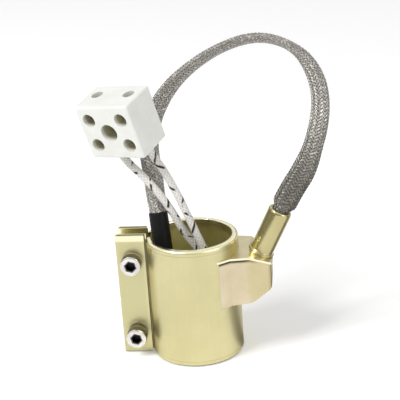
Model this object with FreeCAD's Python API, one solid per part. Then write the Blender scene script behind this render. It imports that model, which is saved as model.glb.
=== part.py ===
import FreeCAD, Part
import math
import os

# Brass nozzle band heater: a mica-insulated clamp band with a braided lead and a two-pole ceramic terminal block.
# Millimetres. The origin is on the bore's axis in the plane of the bottom rim, +Z runs up the bore,
# the clamp ears point along -X and the terminal cap along +X.

Vector = FreeCAD.Vector
X_AXIS, Y_AXIS, Z_AXIS = Vector(1, 0, 0), Vector(0, 1, 0), Vector(0, 0, 1)
AHEAD = 100.0  # reach of cutting tools that only have to clear the part

# Band
bore_diameter = 28.0  # inside the folded rims
body_height = 43.5
sheath_thickness = 0.4
rim_lip_height = 3.0  # how far each folded rim reaches into the bore
rim_outer_bend = 1.0
rim_inner_bend = 0.4
liner_thickness = 0.3
mica_thickness = 0.25
former_thickness = 0.2
ribbon_thickness = 0.1
layer_clearance = 0.02

# Clamp
clamp_gap = 5.0  # between the two ears
ear_reach = 10.2  # from the sheath's outside to the ear's outer edge
ear_rise = 1.5  # how far the ears stand above the upper rim
ear_foot = 0.4  # and how far they stop above the lower one
clamp_bar_thickness = 1.3
bar_setback = 0.5  # from the bar's inner edge to the line of the fold's free edge
bar_end_clearance = 0.3
screw_inset = 7.7  # from the lower rim to the lower screw's axis
screw_spacing = 27.4
screw_radial_place = 4.8  # from the sheath's outside to the screws' axes
screw_diameter = 4.0
screw_length = 12.0  # under the head
screw_tip_chamfer = 0.5
screw_thread_clearance = 0.04
screw_hole_clearance = 0.25
screw_head_diameter = 7.2
screw_head_height = 4.0
screw_head_chamfer = 0.35
screw_socket_flats = 3.0
screw_socket_depth = 2.2
screw_socket_mouth = 4.6  # diameter of the cone that leads into the hexagon
lower_screw_stand_off = 1.0  # the lower screw is backed off by more than a turn

# Winding
turns_each_side = 12
ribbon_width = 1.6
ribbon_link_height = 0.5
former_inset = 3.2  # from the rim to the former's edge
winding_start_angle = 12.0  # degrees from +X to the first turn
winding_end_angle = 166.0
return_strip_drop = 0.9  # from the links down to the return strip

# Terminal cap
cap_wall = 0.5
cap_skirt_x, cap_skirt_half_width = 10.4, 12.6
cap_flank_x, cap_flank_half_width = 13.8, 10.0
cap_knee_x, cap_knee_half_width = 20.0, 9.2
cap_end_x, cap_end_half_width = 27.5, 5.2
cap_corner_radius = 1.2
cap_top_z = 38.2
cap_slope = 26.0  # degrees, fall of the lid towards its end
cap_bottom_z = 19.4
cap_heel_x, cap_heel_z = 21.2, 21.0
cap_toe_z = 24.6
cap_heel_radius = 5.0
cap_toe_radius = 2.4
lid_thickness = 0.8
lid_overhang = 0.4
lid_seam = 0.3
lid_spigot_depth = 2.0
lid_spigot_wall = 0.6
seat_clearance = 0.05
window_half_width, window_bottom_z, window_top_z = 5.0, 21.8, 26.6

# Ferrule
ferrule_x = 23.8  # where its axis leaves the lid's upper face
ferrule_diameter = 8.2
ferrule_length = 17.0  # above the lid
ferrule_lip_chamfer = 0.4
collar_diameter = 9.2
collar_thickness = 0.9

# Lead
braid_diameter = 5.6  # round tube of the same section as the flattened braid
braid_in_ferrule = 10.0
wire_diameter = 2.7
bundle_clearance = 0.05
sleeve_wall = 0.5
sleeve_top = Vector(-11.4, 2.2, 51.2)
sleeve_bottom = Vector(-9.8, -1.2, 33.0)
braid_in_sleeve = 15.0

# Leads inside the cap
inner_lead_diameter = 2.2
inner_lead_bend_depth = 2.7  # from the lid to where the leads turn towards their crimps
inner_lead_straight = 1.8  # above each crimp
crimp_diameter = 3.0
crimp_length = 5.5
crimp_x, crimp_half_spacing, crimp_bottom_z = 20.8, 3.0, 24.0
tab_width = 2.4
tab_thickness = 0.3
tab_z = 22.8

# Terminal block, in its own frame: X across the poles, Y from the screw face to the back, Z along the wires
block_width = 22.0
block_depth = 14.5
block_height = 20.0
block_edge_radius = 0.8
block_centre = Vector(-21.7, 2.2, 84.0)
block_yaw, block_pitch, block_roll = -26.9, -6.3, 15.5
pole_half_spacing = 6.6
pole_screw_half_spacing = 4.8
well_diameter = 4.9
well_depth = 6.2
fixing_hole_diameter = 4.3
fixing_counterbore_diameter = 6.4
fixing_counterbore_depth = 6.5
wire_line_depth = 8.5  # from the screw face to the wires' axes
wire_entry_diameter = 4.2
wire_entry_depth = 2.6
insert_width = 5.2
insert_clearance = 0.08
insert_bore_diameter = 3.0
insert_stop = 1.0  # web left between the two blind wire bores
terminal_screw_diameter = 3.0
terminal_head_diameter = 4.4
terminal_head_height = 1.6
terminal_head_rise = 0.8  # of the open screws, from the insert to the head
terminal_slot_width = 0.7
terminal_slot_depth = 0.9
wire_depth_in_block = 3.4
conductor_diameter = 1.4
conductor_length = 5.2

# Derived places
bore_radius = bore_diameter / 2
liner_inner = bore_radius + sheath_thickness + layer_clearance
liner_outer = liner_inner + liner_thickness
mica_inner_face = liner_outer + layer_clearance
ribbon_inner = mica_inner_face + mica_thickness + layer_clearance
former_inner = ribbon_inner + ribbon_thickness + layer_clearance
former_outer = former_inner + former_thickness
ribbon_outer = former_outer + layer_clearance + ribbon_thickness
mica_outer_face = ribbon_outer + layer_clearance
sheath_inner = mica_outer_face + mica_thickness + layer_clearance
body_radius = sheath_inner + sheath_thickness
half_gap = clamp_gap / 2
ear_thickness = 2 * sheath_thickness + clamp_bar_thickness + 2 * layer_clearance
ear_face = half_gap + ear_thickness
ear_edge = body_radius + ear_reach
fold_radius = ear_thickness / 2
screw_x = -(body_radius + screw_radial_place)
screw_heights = {"lower": screw_inset, "upper": screw_inset + screw_spacing}
ear_top = body_height + ear_rise
screw_stand_offs = {"lower": lower_screw_stand_off, "upper": 0.0}
slope_tangent = math.tan(math.radians(cap_slope))
ferrule_axis = Vector(math.sin(math.radians(cap_slope)), 0, math.cos(math.radians(cap_slope)))
ferrule_base = Vector(ferrule_x, 0, cap_top_z - (ferrule_x - cap_knee_x) * slope_tangent)
ferrule_mouth = ferrule_base + ferrule_axis * ferrule_length
bundle_bore = braid_diameter + 2 * bundle_clearance
sleeve_axis = (sleeve_bottom - sleeve_top).normalize()
block_place = FreeCAD.Placement(block_centre, FreeCAD.Rotation(block_yaw, block_pitch, block_roll))
wire_line_y = wire_line_depth - block_depth / 2

pieces = {}


def keep(name, shape):
    """Checks one finished piece and stores it under its name."""
    if not shape.isValid():
        raise ValueError(name + " is not a valid solid")
    pieces[name] = shape


def rounded_outline(corners, plane):
    """Closed wire through 2-D corners (a, b, radius); plane turns (a, b) into a point."""
    count = len(corners)
    edges, first, last = [], None, None
    for i, (a, b, radius) in enumerate(corners):
        here = plane(a, b)
        before = (plane(*corners[i - 1][:2]) - here).normalize()
        after = (plane(*corners[(i + 1) % count][:2]) - here).normalize()
        if radius:
            half_turn = (math.pi - before.getAngle(after)) / 2
            setback = radius * math.tan(half_turn)
            start, end = here + before * setback, here + after * setback
            centre_line = (before + after).normalize()
            middle = here + centre_line * (math.hypot(setback, radius) - radius)
            arc = Part.Arc(start, middle, end).toShape()
        else:
            start = end = here
            arc = None
        if last is not None:
            edges.append(Part.LineSegment(last, start).toShape())
        if arc:
            edges.append(arc)
        first, last = first or start, end
    edges.append(Part.LineSegment(last, first).toShape())
    return Part.Wire(edges)


def prism(corners, plane, direction):
    return Part.Face(rounded_outline(corners, plane)).extrude(direction)


def plan(z):
    return lambda a, b: Vector(a, b, z)


def side(y):
    return lambda a, b: Vector(a, y, b)


def box(low, high):
    size = high - low
    return Part.makeBox(size.x, size.y, size.z, low)


def cylinder(diameter, start, end):
    return Part.makeCylinder(diameter / 2, (end - start).Length, start, end - start)


def ring(inner, outer, low, high):
    """Round sleeve about the bore's axis."""
    shell = Part.makeCylinder(outer, high - low, Vector(0, 0, low))
    return shell.cut(Part.makeCylinder(inner, high - low, Vector(0, 0, low)))


def slot_cutter(half_width):
    """The band's opening, from the bore's axis outwards along -X."""
    return box(Vector(-AHEAD, -half_width, -AHEAD), Vector(0, half_width, AHEAD))


def open_ring(inner, outer, low, high, half_width):
    return ring(inner, outer, low, high).cut(slot_cutter(half_width))


def mirror_y(shape):
    return shape.mirror(Vector(0, 0, 0), Y_AXIS)


# Band ------------------------------------------------------------------------------------------------------------


def folded_band():
    """The rolled sheet with both rims turned in and down over the liner, before its ears."""
    lip = bore_radius + sheath_thickness
    profile = [
        (bore_radius, 0, rim_inner_bend),
        (body_radius, 0, rim_outer_bend),
        (body_radius, body_height, rim_outer_bend),
        (bore_radius, body_height, rim_inner_bend),
        (bore_radius, body_height - rim_lip_height, 0),
        (lip, body_height - rim_lip_height, 0),
        (lip, body_height - sheath_thickness, 0),
        (sheath_inner, body_height - sheath_thickness, rim_outer_bend - sheath_thickness),
        (sheath_inner, sheath_thickness, rim_outer_bend - sheath_thickness),
        (lip, sheath_thickness, 0),
        (lip, rim_lip_height, 0),
        (bore_radius, rim_lip_height, 0),
    ]
    face = Part.Face(rounded_outline(profile, side(0)))
    return face.revolve(Vector(0, 0, 0), Z_AXIS, 360).cut(slot_cutter(half_gap))


def ear_fold():
    """Plan section of the rear ear: out along the gap, round the bar and back to the band."""
    inside = fold_radius - sheath_thickness
    middle = half_gap + fold_radius
    turn = -ear_edge + fold_radius
    outer_arc = Part.Arc(Vector(turn, ear_face, 0), Vector(-ear_edge, middle, 0), Vector(turn, half_gap, 0))
    inner_arc = Part.Arc(
        Vector(turn, middle - inside, 0), Vector(turn - inside, middle, 0), Vector(turn, middle + inside, 0)
    )
    root = -math.sqrt(sheath_inner**2 - half_gap**2)
    free_edge = -body_radius
    corners = [
        Vector(free_edge, ear_face, 0),
        Vector(turn, ear_face, 0),
        Vector(turn, half_gap, 0),
        Vector(root, half_gap, 0),
        Vector(root, half_gap + sheath_thickness, 0),
        Vector(turn, middle - inside, 0),
        Vector(turn, middle + inside, 0),
        Vector(free_edge, middle + inside, 0),
    ]
    line = lambda i, j: Part.LineSegment(corners[i], corners[j]).toShape()
    edges = [line(0, 1), outer_arc.toShape(), line(2, 3), line(3, 4), line(4, 5), inner_arc.toShape()]
    edges += [line(6, 7), line(7, 0)]
    section = Part.Face(Part.Wire(edges))
    section.translate(Z_AXIS * ear_foot)
    return section.extrude(Z_AXIS * (ear_top - ear_foot))


def screw_holes(diameter, near, far):
    """Holes along Y at both clamp screws."""
    holes = [cylinder(diameter, Vector(screw_x, near, z), Vector(screw_x, far, z)) for z in screw_heights.values()]
    return holes[0].fuse(holes[1])


def outer_sheath():
    rear = ear_fold()
    sheath = folded_band().fuse([rear, mirror_y(rear)])
    clearance_hole = screw_diameter + 2 * screw_hole_clearance
    sheath = sheath.cut(screw_holes(clearance_hole, -AHEAD, AHEAD))
    window = box(
        Vector(bore_radius, -window_half_width, window_bottom_z), Vector(AHEAD, window_half_width, window_top_z)
    )
    return sheath.cut(window).removeSplitter()


def clamp_bar(side_sign, hole_diameter):
    """Strip inside an ear's fold, rounded where the sheet turns round it."""
    inside = clamp_bar_thickness / 2
    middle = half_gap + fold_radius
    turn = -ear_edge + fold_radius
    inner_edge = -body_radius - bar_setback
    low, high = ear_foot + bar_end_clearance, ear_top - bar_end_clearance
    flat = box(Vector(turn, middle - inside, low), Vector(inner_edge, middle + inside, high))
    nose = cylinder(2 * inside, Vector(turn, middle, low), Vector(turn, middle, high))
    bar = flat.fuse(nose).removeSplitter()
    if side_sign < 0:
        bar = mirror_y(bar)
    return bar.cut(screw_holes(hole_diameter, -AHEAD, AHEAD))


def inner_liner():
    """Bore side sheet; its ends are turned out to close the band's edges at the opening."""
    low, high = sheath_thickness + layer_clearance, body_height - sheath_thickness - layer_clearance
    liner = open_ring(liner_inner, liner_outer, low, high, half_gap)
    tab_end = -math.sqrt((sheath_inner - layer_clearance) ** 2 - (half_gap + liner_thickness) ** 2)
    tab_root = -math.sqrt(liner_inner**2 - half_gap**2)
    bend = rim_outer_bend
    tab = box(
        Vector(tab_end, half_gap, low + bend), Vector(tab_root, half_gap + liner_thickness, high - bend)
    )
    tab = tab.cut(Part.makeCylinder(liner_inner, AHEAD, Vector(0, 0, 0)))
    return liner.fuse([tab, mirror_y(tab)]).removeSplitter()


sealed_half_gap = half_gap + liner_thickness + layer_clearance
sealed_low = sheath_thickness + layer_clearance
sealed_high = body_height - sealed_low


def tab_slots(clearance):
    """Slots for the two terminal tabs, seen from the cap."""
    slots = []
    for sign in (-1, 1):
        low = Vector(former_outer, sign * crimp_half_spacing - tab_width / 2 - clearance, tab_z - clearance)
        high = Vector(AHEAD, sign * crimp_half_spacing + tab_width / 2 + clearance, tab_z + tab_thickness + clearance)
        slots.append(box(low, high))
    return slots[0].fuse(slots[1])


def mica_layers():
    lip_outer = bore_radius + sheath_thickness
    bend = rim_outer_bend
    low, high = sealed_low + bend, sealed_high - bend
    inner = open_ring(mica_inner_face, mica_inner_face + mica_thickness, sealed_low, sealed_high, sealed_half_gap)
    outer = open_ring(mica_outer_face, mica_outer_face + mica_thickness, low, high, sealed_half_gap)
    return inner, outer.cut(tab_slots(layer_clearance * 5))


def winding_former():
    low, high = former_inset, body_height - former_inset
    return open_ring(former_inner, former_outer, low, high, sealed_half_gap)


def sector(inner, outer, low, high, start, end):
    """Part of a ring between two angles in degrees."""
    piece = Part.makeCylinder(outer, high - low, Vector(0, 0, low), Z_AXIS, end - start)
    piece = piece.cut(Part.makeCylinder(inner, high - low, Vector(0, 0, low)))
    piece.rotate(Vector(0, 0, 0), Z_AXIS, start)
    return piece


def resistance_ribbon():
    """One ribbon wound over the former, turn beside turn, from one tab to the opening, back under it and to the other."""
    low, high = former_inset, body_height - former_inset
    edge = layer_clearance
    half_width_angle = math.degrees(ribbon_width / 2 / ribbon_outer)
    pitch = (winding_end_angle - winding_start_angle) / (turns_each_side - 1)
    outer_low, outer_high = former_outer + layer_clearance, ribbon_outer
    inner_low, inner_high = ribbon_inner, former_inner - layer_clearance
    link_low = low - edge - ribbon_link_height
    return_high = link_low - return_strip_drop
    return_low = return_high - ribbon_link_height
    parts = []
    for sign in (1, -1):
        for turn in range(turns_each_side):
            angle = winding_start_angle + turn * pitch
            start, end = angle - half_width_angle, angle + half_width_angle
            last = turn == turns_each_side - 1
            link_end = end if last else end + pitch
            spans = [
                (outer_low, outer_high, low - edge, high + edge, start, end),
                (inner_low, inner_high, low - edge, high + edge, start, end),
                (inner_low, outer_high, high + edge, high + edge + ribbon_link_height, start, end),
                (outer_low, outer_high, link_low, low - edge, start, end),
                (inner_low, outer_high, link_low, low - edge, end - 2 * half_width_angle, link_end),
            ]
            if last:
                spans.append((outer_low, outer_high, return_low, link_low, start, end))
            for r1, r2, z1, z2, a1, a2 in spans:
                angles = (a1, a2) if sign > 0 else (-a2, -a1)
                parts.append(sector(r1, r2, z1, z2, *angles))
    sweep = winding_end_angle + half_width_angle
    parts.append(sector(outer_low, outer_high, return_low, return_high, -sweep, sweep))
    return parts[0].fuse(parts[1:]).removeSplitter()


def terminal_tab(sign):
    """Nickel strip from the first turn of the ribbon, out through the sheath and up into its crimp."""
    y = sign * crimp_half_spacing
    half = tab_width / 2
    start_x = former_outer + layer_clearance + ribbon_thickness
    flat = box(Vector(start_x, y - half, tab_z), Vector(crimp_x + tab_thickness / 2, y + half, tab_z + tab_thickness))
    leg = box(Vector(crimp_x - tab_thickness / 2, y - half, tab_z), Vector(crimp_x + tab_thickness / 2, y + half, crimp_bottom_z))
    return flat.fuse(leg).removeSplitter()


# Terminal cap ----------------------------------------------------------------------------------------------------


def cap_plan(inset):
    """Plan of the cap, wide at the band and narrower at its end."""
    points = [
        (cap_skirt_x, cap_skirt_half_width, 0),
        (cap_flank_x, cap_flank_half_width, 0),
        (cap_knee_x, cap_knee_half_width, cap_corner_radius),
        (cap_end_x, cap_end_half_width, cap_corner_radius),
    ]
    near = [(0, cap_skirt_half_width - inset, 0)]
    near += [(x - (inset if x == cap_end_x else 0), half - inset, radius) for x, half, radius in points]
    far = [(x, -half, radius) for x, half, radius in reversed(near)]
    return prism(far + near, plan(-AHEAD), Vector(0, 0, 2 * AHEAD))


def lid_line(drop, end_x):
    """Points on a line parallel to the lid's upper face, from the bore's axis to end_x."""
    return [(0, cap_top_z - drop, 0), (cap_knee_x, cap_top_z - drop, 0),
            (end_x, cap_top_z - drop - (end_x - cap_knee_x) * slope_tangent, 0)]


def cap_side(inset, top_drop, end_x):
    """Side view of the cap below a line parallel to the lid."""
    bottom = [
        (end_x, cap_toe_z + inset, cap_toe_radius),
        (cap_heel_x, cap_heel_z + inset, cap_heel_radius),
        (0, cap_bottom_z + inset, 0),
    ]
    return prism(lid_line(top_drop, end_x) + bottom, side(-AHEAD), Vector(0, 2 * AHEAD, 0))


def lid_band(upper, lower, end_x):
    """Slab between two lines parallel to the lid."""
    outline = lid_line(upper, end_x) + list(reversed(lid_line(lower, end_x)))
    return prism(outline, side(-AHEAD), Vector(0, 2 * AHEAD, 0))


def band_clear(shape):
    return shape.cut(Part.makeCylinder(body_radius + layer_clearance, 2 * AHEAD, Vector(0, 0, -AHEAD)))


def terminal_cap():
    box_top = lid_thickness + lid_seam
    outside = cap_plan(0).common(cap_side(0, box_top, cap_end_x))
    inside = cap_plan(cap_wall).common(cap_side(cap_wall, -AHEAD, cap_end_x))
    return band_clear(outside.cut(inside)).removeSplitter()


def cap_lid():
    plate = cap_plan(-lid_overhang).common(lid_band(0, lid_thickness, cap_end_x + lid_overhang))
    plug = cap_plan(cap_wall + seat_clearance)
    plug = plug.cut(cap_plan(cap_wall + seat_clearance + lid_spigot_wall))
    plug = plug.common(lid_band(lid_thickness, lid_thickness + lid_spigot_depth, cap_end_x))
    lid = band_clear(plate.fuse(plug))
    hole = cylinder(ferrule_diameter + 2 * seat_clearance, ferrule_base - ferrule_axis * AHEAD / 4, ferrule_mouth)
    return lid.cut(hole).removeSplitter()


def lead_ferrule():
    """Tube through the lid with a collar that sits on it."""
    foot = ferrule_base - ferrule_axis * lid_thickness
    tube = cylinder(ferrule_diameter, foot, ferrule_mouth)
    mouth_edges = [e for e in tube.Edges if e.BoundBox.Center.distanceToPoint(ferrule_mouth) < ferrule_lip_chamfer]
    tube = tube.makeChamfer(ferrule_lip_chamfer, mouth_edges)
    collar = cylinder(collar_diameter, ferrule_base, ferrule_base + ferrule_axis * collar_thickness)
    bore = cylinder(bundle_bore, foot - ferrule_axis, ferrule_mouth + ferrule_axis)
    return tube.fuse(collar).cut(bore).removeSplitter()


# Lead ------------------------------------------------------------------------------------------------------------


def cord_tube(name, points, diameter):
    """Round tube along straight runs joined by tangent arcs, each as large as its two runs allow."""
    points = [Vector(p) for p in points]
    edges, radii, start = [], [], points[0]
    for before, here, after in zip(points, points[1:], points[2:]):
        incoming, outgoing = here - before, after - here
        tangent = 0.45 * min(incoming.Length, outgoing.Length)
        half_turn = incoming.getAngle(outgoing) / 2
        radius = tangent / math.tan(half_turn)
        radii.append(radius)
        back, ahead = incoming.normalize() * -1, outgoing.normalize()
        arc_start, arc_end = here + back * tangent, here + ahead * tangent
        middle = here + (back + ahead).normalize() * (math.hypot(tangent, radius) - radius)
        edges.append(Part.LineSegment(start, arc_start).toShape())
        edges.append(Part.Arc(arc_start, middle, arc_end).toShape())
        start = arc_end
    edges.append(Part.LineSegment(start, points[-1]).toShape())
    path = Part.Wire(edges)
    section = Part.Wire([Part.Circle(points[0], points[1] - points[0], diameter / 2).toShape()])
    tube = path.makePipeShell([section], True, False)
    expected = math.pi * diameter**2 / 4 * path.Length
    print(f"{name}: length {path.Length:.1f}, volume {tube.Volume:.1f} of {expected:.1f}, "
          f"arc radii {' '.join(f'{r:.1f}' for r in radii)}")
    return tube


braid_start = ferrule_mouth - ferrule_axis * braid_in_ferrule
braid_end = sleeve_top + sleeve_axis * braid_in_sleeve
braid_route = [
    braid_start,
    ferrule_mouth + ferrule_axis * 6.0,
    (41.2, 1.0, 70.2),
    (46.0, 2.4, 84.0),
    (46.8, 4.2, 94.2),
    (42.2, 6.2, 102.4),
    (34.4, 8.4, 107.6),
    (24.6, 10.8, 109.3),
    (13.8, 13.0, 107.2),
    (3.4, 14.8, 101.8),
    (-5.4, 15.6, 93.6),
    (-11.6, 15.0, 83.4),
    (-14.4, 11.8, 72.6),
    (-13.7, 7.6, 63.8),
    sleeve_top - sleeve_axis * 5.0,
    braid_end,
]

across_bundle = sleeve_axis.cross(X_AXIS).normalize()
if across_bundle.y < 0:
    across_bundle = across_bundle * -1
wire_offset = across_bundle * (wire_diameter + bundle_clearance) / 2
bundle_exit = sleeve_bottom + sleeve_axis * 3.0


def in_block(x, y, z):
    """A point of the terminal block's own frame, in the part's frame."""
    return block_place.multVec(Vector(x, y, z))


def wire_end(sign):
    """The last two points of a wire: just under the block and inside its entry."""
    x = sign * pole_half_spacing
    below = in_block(x, wire_line_y, -block_height / 2 - 2.5)
    inside = in_block(x, wire_line_y, -block_height / 2 + wire_depth_in_block)
    return [below, inside]


wire_routes = {
    "left": [
        braid_end + wire_offset,
        bundle_exit + wire_offset,
        (-9.0, 0.0, 23.4),
        (-4.7, 0.4, 18.6),
        (1.6, 0.8, 18.2),
        (6.4, 1.0, 22.0),
        (7.6, 1.0, 28.4),
        (2.6, 1.0, 36.6),
        (-2.6, 0.6, 43.8),
        (-6.6, -0.2, 53.2),
        (-11.6, 0.4, 60.6),
        (-16.8, 3.4, 65.2),
        (-21.0, 6.9, 67.6),
    ]
    + wire_end(-1),
    "right": [
        braid_end - wire_offset,
        bundle_exit - wire_offset,
        (-9.1, -3.4, 23.8),
        (-4.8, -3.2, 18.9),
        (1.6, -2.9, 18.3),
        (7.0, -2.7, 21.8),
        (9.0, -2.6, 28.0),
        (3.8, -2.5, 39.9),
        (-0.2, -1.7, 49.9),
        (-4.0, -0.4, 58.9),
        (-8.3, 1.4, 66.9),
    ]
    + wire_end(1),
}


def heat_shrink_sleeve():
    outer = cylinder(bundle_bore + 2 * sleeve_wall, sleeve_top, sleeve_bottom)
    return outer.cut(cylinder(bundle_bore, sleeve_top - sleeve_axis, sleeve_bottom + sleeve_axis))


def inner_lead(name, sign):
    """Covered lead from the braid's end in the ferrule down to its crimp."""
    aside = Y_AXIS * sign * (inner_lead_diameter / 2 + bundle_clearance)
    crimp_top = Vector(crimp_x, sign * crimp_half_spacing, crimp_bottom_z + crimp_length)
    bend = ferrule_base - ferrule_axis * inner_lead_bend_depth + aside
    points = [braid_start + aside, bend, crimp_top + Z_AXIS * inner_lead_straight, crimp_top]
    return cord_tube(name, points, inner_lead_diameter)


def crimp(sign):
    foot = Vector(crimp_x, sign * crimp_half_spacing, crimp_bottom_z)
    return cylinder(crimp_diameter, foot, foot + Z_AXIS * crimp_length)


# Clamp screws ----------------------------------------------------------------------------------------------------


def hexagon(flats, centre, direction, depth):
    """Hexagonal prism along +Y from centre."""
    radius = flats / math.sqrt(3)
    corners = [
        centre + Vector(radius * math.cos(math.radians(a)), 0, radius * math.sin(math.radians(a)))
        for a in range(0, 361, 60)
    ]
    return Part.Face(Part.makePolygon(corners)).extrude(direction * depth)


def clamp_screw(level):
    """Socket head cap screw along +Y; its head stands on the front ear, or off it by the stand-off."""
    z = screw_heights[level]
    under_head = Vector(screw_x, -ear_face - screw_stand_offs[level], z)
    top = under_head - Y_AXIS * screw_head_height
    tip = under_head + Y_AXIS * screw_length
    head = cylinder(screw_head_diameter, top, under_head)
    rim = [e for e in head.Edges if e.BoundBox.Center.distanceToPoint(top) < screw_head_chamfer]
    head = head.makeFillet(screw_head_chamfer, rim)
    shank = cylinder(screw_diameter, under_head, tip)
    end = [e for e in shank.Edges if e.BoundBox.Center.distanceToPoint(tip) < screw_tip_chamfer]
    shank = shank.makeChamfer(screw_tip_chamfer, end)
    socket = hexagon(screw_socket_flats, top, Y_AXIS, screw_socket_depth)
    mouth_depth = (screw_socket_mouth - screw_socket_flats) / 2
    mouth = Part.makeCone(screw_socket_mouth / 2, screw_socket_flats / 2, mouth_depth, top, Y_AXIS)
    return head.fuse(shank).cut([socket, mouth]).removeSplitter()


# Terminal block --------------------------------------------------------------------------------------------------


def at_poles():
    """Signs of the pole and of the wire end for each of the four terminal screws."""
    return [(pole, end) for end in (1, -1) for pole in (-1, 1)]


def block_body():
    half = Vector(block_width / 2, block_depth / 2, block_height / 2)
    body = box(half * -1, half)
    body = body.makeFillet(block_edge_radius, body.Edges)
    front, back = -half.y, half.y
    cutters = [
        cylinder(fixing_hole_diameter, Vector(0, front - 1, 0), Vector(0, back + 1, 0)),
        cylinder(fixing_counterbore_diameter, Vector(0, front - 1, 0), Vector(0, front + fixing_counterbore_depth, 0)),
    ]
    channel = insert_width / 2 + insert_clearance
    for pole, end in at_poles():
        x, z = pole * pole_half_spacing, end * pole_screw_half_spacing
        cutters.append(cylinder(well_diameter, Vector(x, front - 1, z), Vector(x, front + well_depth, z)))
        entry = Vector(x, wire_line_y, end * half.z)
        cutters.append(cylinder(wire_entry_diameter, entry + Z_AXIS * end, entry - Z_AXIS * end * wire_entry_depth))
    for pole in (-1, 1):
        x = pole * pole_half_spacing
        low = Vector(x - channel, wire_line_y - channel, -half.z + wire_entry_depth)
        high = Vector(x + channel, wire_line_y + channel, half.z - wire_entry_depth)
        cutters.append(box(low, high))
    return body.cut(cutters).removeSplitter()


insert_half_length = block_height / 2 - wire_entry_depth - insert_clearance


def block_insert(pole):
    """Brass bar with a blind wire bore from each end and two tapped screw holes."""
    x, half = pole * pole_half_spacing, insert_width / 2
    bar = box(
        Vector(x - half, wire_line_y - half, -insert_half_length), Vector(x + half, wire_line_y + half, insert_half_length)
    )
    cutters = []
    for end in (-1, 1):
        mouth = Vector(x, wire_line_y, end * (insert_half_length + 1))
        stop = Vector(x, wire_line_y, end * insert_stop / 2)
        cutters.append(cylinder(insert_bore_diameter, mouth, stop))
        tapped = terminal_screw_diameter + 2 * screw_thread_clearance
        z = end * pole_screw_half_spacing
        cutters.append(cylinder(tapped, Vector(x, wire_line_y - half - 1, z), Vector(x, wire_line_y, z)))
    return bar.cut(cutters).removeSplitter()


def block_screw(pole, end):
    """Slotted screw; the lower pair clamps the heater's wires, the upper pair stands open."""
    x, z = pole * pole_half_spacing, end * pole_screw_half_spacing
    insert_face = wire_line_y - insert_width / 2
    rise = terminal_head_rise if end > 0 else terminal_head_rise / 2
    under_head = Vector(x, insert_face - rise, z)
    top = under_head - Y_AXIS * terminal_head_height
    tip_y = wire_line_y - insert_bore_diameter / 2 if end > 0 else wire_line_y - conductor_diameter / 2 - seat_clearance
    head = cylinder(terminal_head_diameter, top, under_head)
    rim = [e for e in head.Edges if e.BoundBox.Center.distanceToPoint(top) < 0.1]
    head = head.makeFillet(terminal_head_height / 4, rim)
    screw = head.fuse(cylinder(terminal_screw_diameter, under_head, Vector(x, tip_y, z)))
    half_slot = terminal_slot_width / 2
    slot = box(
        Vector(x - terminal_head_diameter, top.y - 1, z - half_slot),
        Vector(x + terminal_head_diameter, top.y + terminal_slot_depth, z + half_slot),
    )
    return screw.cut(slot).removeSplitter()


def conductor(pole):
    """Bare end of a wire in its insert, under the lower screw."""
    x = pole * pole_half_spacing
    start = Vector(x, wire_line_y, -block_height / 2 + wire_depth_in_block)
    return cylinder(conductor_diameter, start, start + Z_AXIS * conductor_length)


def placed(shape):
    shape.Placement = block_place.multiply(shape.Placement)
    return shape


# Build -----------------------------------------------------------------------------------------------------------

keep("outer_sheath", outer_sheath())
keep("inner_liner", inner_liner())
mica_inner, mica_outer = mica_layers()
keep("mica_inner", mica_inner)
keep("mica_outer", mica_outer)
keep("winding_former", winding_former())
keep("resistance_ribbon", resistance_ribbon())
keep("clamp_bar_front", clamp_bar(-1, screw_diameter + 2 * screw_hole_clearance))
keep("clamp_bar_rear", clamp_bar(1, screw_diameter + 2 * screw_thread_clearance))
for level in screw_heights:
    keep("clamp_screw_" + level, clamp_screw(level))
keep("terminal_cap", terminal_cap())
keep("cap_lid", cap_lid())
keep("lead_ferrule", lead_ferrule())
for name, sign in (("left", -1), ("right", 1)):
    keep("terminal_tab_" + name, terminal_tab(sign))
    keep("crimp_" + name, crimp(sign))
    keep("inner_lead_" + name, inner_lead("inner_lead_" + name, sign))
    keep("lead_wire_" + name, cord_tube("lead_wire_" + name, wire_routes[name], wire_diameter))
    keep("terminal_insert_" + name, placed(block_insert(sign)))
    keep("conductor_" + name, placed(conductor(sign)))
keep("lead_braid", cord_tube("lead_braid", braid_route, braid_diameter))
keep("heat_shrink_sleeve", heat_shrink_sleeve())
keep("terminal_block_body", placed(block_body()))
for pole, end in at_poles():
    name = ("upper" if end > 0 else "lower") + ("_left" if pole < 0 else "_right")
    keep("terminal_screw_" + name, placed(block_screw(pole, end)))

os.makedirs("parts", exist_ok=True)
for name, shape in pieces.items():
    shape.exportStep("parts/" + name + ".step")
print(len(pieces), "pieces written")
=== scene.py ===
import bpy
import math
from mathutils import Euler, Matrix, Vector, noise


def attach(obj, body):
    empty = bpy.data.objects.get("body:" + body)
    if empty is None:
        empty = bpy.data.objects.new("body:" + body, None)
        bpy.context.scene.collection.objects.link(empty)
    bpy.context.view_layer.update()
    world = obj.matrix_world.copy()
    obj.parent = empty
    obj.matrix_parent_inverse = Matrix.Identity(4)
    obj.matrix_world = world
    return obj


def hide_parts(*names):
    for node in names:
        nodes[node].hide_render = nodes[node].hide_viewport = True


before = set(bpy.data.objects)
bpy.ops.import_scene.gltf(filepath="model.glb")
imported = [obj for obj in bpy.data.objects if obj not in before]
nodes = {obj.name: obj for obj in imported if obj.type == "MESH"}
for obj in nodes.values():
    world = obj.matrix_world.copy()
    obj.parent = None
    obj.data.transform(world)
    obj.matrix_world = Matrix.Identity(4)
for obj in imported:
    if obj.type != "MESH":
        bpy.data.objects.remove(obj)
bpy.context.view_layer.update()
mm = 0.001
print("frame loaded")


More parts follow.
